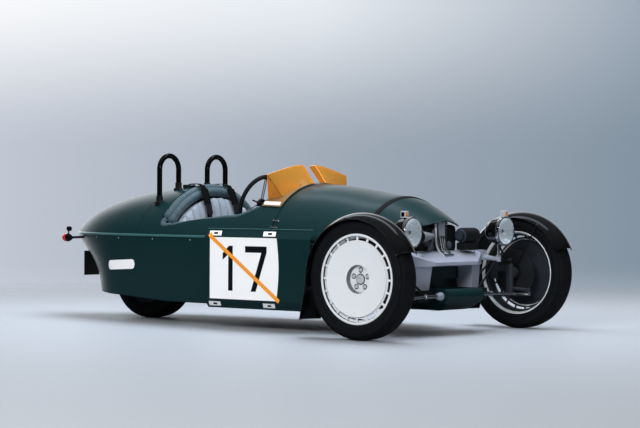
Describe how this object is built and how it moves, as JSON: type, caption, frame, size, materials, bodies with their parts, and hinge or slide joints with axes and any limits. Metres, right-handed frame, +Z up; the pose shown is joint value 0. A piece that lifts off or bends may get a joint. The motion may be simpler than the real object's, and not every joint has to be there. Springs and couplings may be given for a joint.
{
  "type": "three-wheeled open sports car",
  "caption": "Open two-seat three-wheeler with exposed front suspension, steered wire-slot disc wheels in front, one driven wheel in the tail, aero screens and roll hoops.",
  "frame": {"origin": "on the ground, midway between the car's foremost and rearmost points, on its centre line", "axes": "+X towards the nose, +Y to the car's left, +Z up"},
  "size_m": [3.555, 1.85, 1.1319],
  "materials": {
    "green_paint": "satin dark green",
    "rail_paint": "satin green",
    "black_paint": "gloss black",
    "cast_aluminium": "bead-blasted",
    "silver_paint": "satin silver",
    "tyre_rubber": "matt",
    "forged_steel": "satin",
    "iron": "matt",
    "chrome": "polished",
    "clear_lens": "polished",
    "red_lens": "gloss",
    "black_plastic": "matt",
    "amber_screen": "tinted",
    "grey_leather": "soft pleated",
    "wheel_leather": "smooth black"
  },
  "bodies": {
    "chassis": {"lower_body": "green_paint", "scuttle": "green_paint", "belt_rails": "rail_paint", "bonnet": "green_paint", "nose_cowl": "green_paint", "bulkheads": "black_plastic", "front_casting": "cast_aluminium", "chassis_rails": "black_paint", "engine": "iron", "grille_spine": "silver_paint", "air_intakes": "black_plastic", "lower_cowls": "green_paint", "cross_member": "black_paint", "rack_tube": "forged_steel", "radiators": "black_plastic", "number_plate_holder": "black_paint", "dashboard": "black_plastic", "steering_column": "black_paint", "seat_back": "grey_leather", "seat_cushions": "grey_leather", "seat_base": "black_plastic", "coaming": "grey_leather", "mouth_edges": "grey_leather", "seat_belts": "black_plastic", "exhaust": "black_plastic", "swingarm": "black_paint", "wishbones": "forged_steel", "side_plates": "green_paint", "roll_hoops": "black_paint", "windscreens": "amber_screen", "headlamps": "chrome", "headlamp_lenses": "clear_lens", "tail_lamps": "black_plastic", "tail_lamp_lenses": "red_lens"},
    "boot_lid": {"boot_lid": "green_paint"},
    "steering_wheel": {"steering_wheel": "wheel_leather"},
    "steering_rack": {"rack_and_tie_rods": "forged_steel"},
    "knuckle_right": {"knuckle_right": "forged_steel", "mudguard_right": "black_paint"},
    "knuckle_left": {"knuckle_left": "forged_steel", "mudguard_left": "black_paint"},
    "wheel_right": {"front_wheel_right": "silver_paint", "front_tyre_right": "tyre_rubber", "brake_disc_right": "iron"},
    "wheel_left": {"front_wheel_left": "silver_paint", "front_tyre_left": "tyre_rubber", "brake_disc_left": "iron"},
    "rear_wheel": {"rear_wheel": "silver_paint", "rear_tyre": "tyre_rubber"}
  },
  "joints": [
    {"name": "steer_right", "type": "hinge", "parent": "chassis", "child": "knuckle_right", "pos_m": [1.4175, -0.7, 0.3], "axis": [0, 0, 1], "range_deg": [-28, 28]},
    {"name": "steer_left", "type": "hinge", "parent": "chassis", "child": "knuckle_left", "pos_m": [1.4175, 0.7, 0.3], "axis": [0, 0, 1], "range_deg": [-28, 28]},
    {"name": "rack_slide", "type": "slide", "parent": "chassis", "child": "steering_rack", "axis": [0, 1, 0], "range_m": [-0.064, 0.064]},
    {"name": "steering_wheel_turn", "type": "hinge", "parent": "chassis", "child": "steering_wheel", "pos_m": [0.0955, -0.24, 0.8], "axis": [-0.9463, 0, 0.3233], "range_deg": [-400, 400]},
    {"name": "wheel_right_spin", "type": "hinge", "parent": "knuckle_right", "child": "wheel_right", "pos_m": [1.4175, -0.8265, 0.36], "axis": [0, 1, 0], "continuous": true},
    {"name": "wheel_left_spin", "type": "hinge", "parent": "knuckle_left", "child": "wheel_left", "pos_m": [1.4175, 0.8265, 0.36], "axis": [0, 1, 0], "continuous": true},
    {"name": "rear_wheel_spin", "type": "hinge", "parent": "chassis", "child": "rear_wheel", "pos_m": [-1.0915, 0, 0.312], "axis": [0, 1, 0], "continuous": true},
    {"name": "boot_lid_hinge", "type": "hinge", "parent": "chassis", "child": "boot_lid", "pos_m": [-1.7695, 0, 0.6], "axis": [0, 1, 0], "range_deg": [-40, 0]}
  ],
  "couplings": [
    {"joint": "steer_left", "follows": "steer_right", "ratio": 1},
    {"joint": "rack_slide", "follows": "steer_right", "m_per_rad": 0.126},
    {"joint": "steering_wheel_turn", "follows": "steer_right", "ratio": 14}
  ]
}
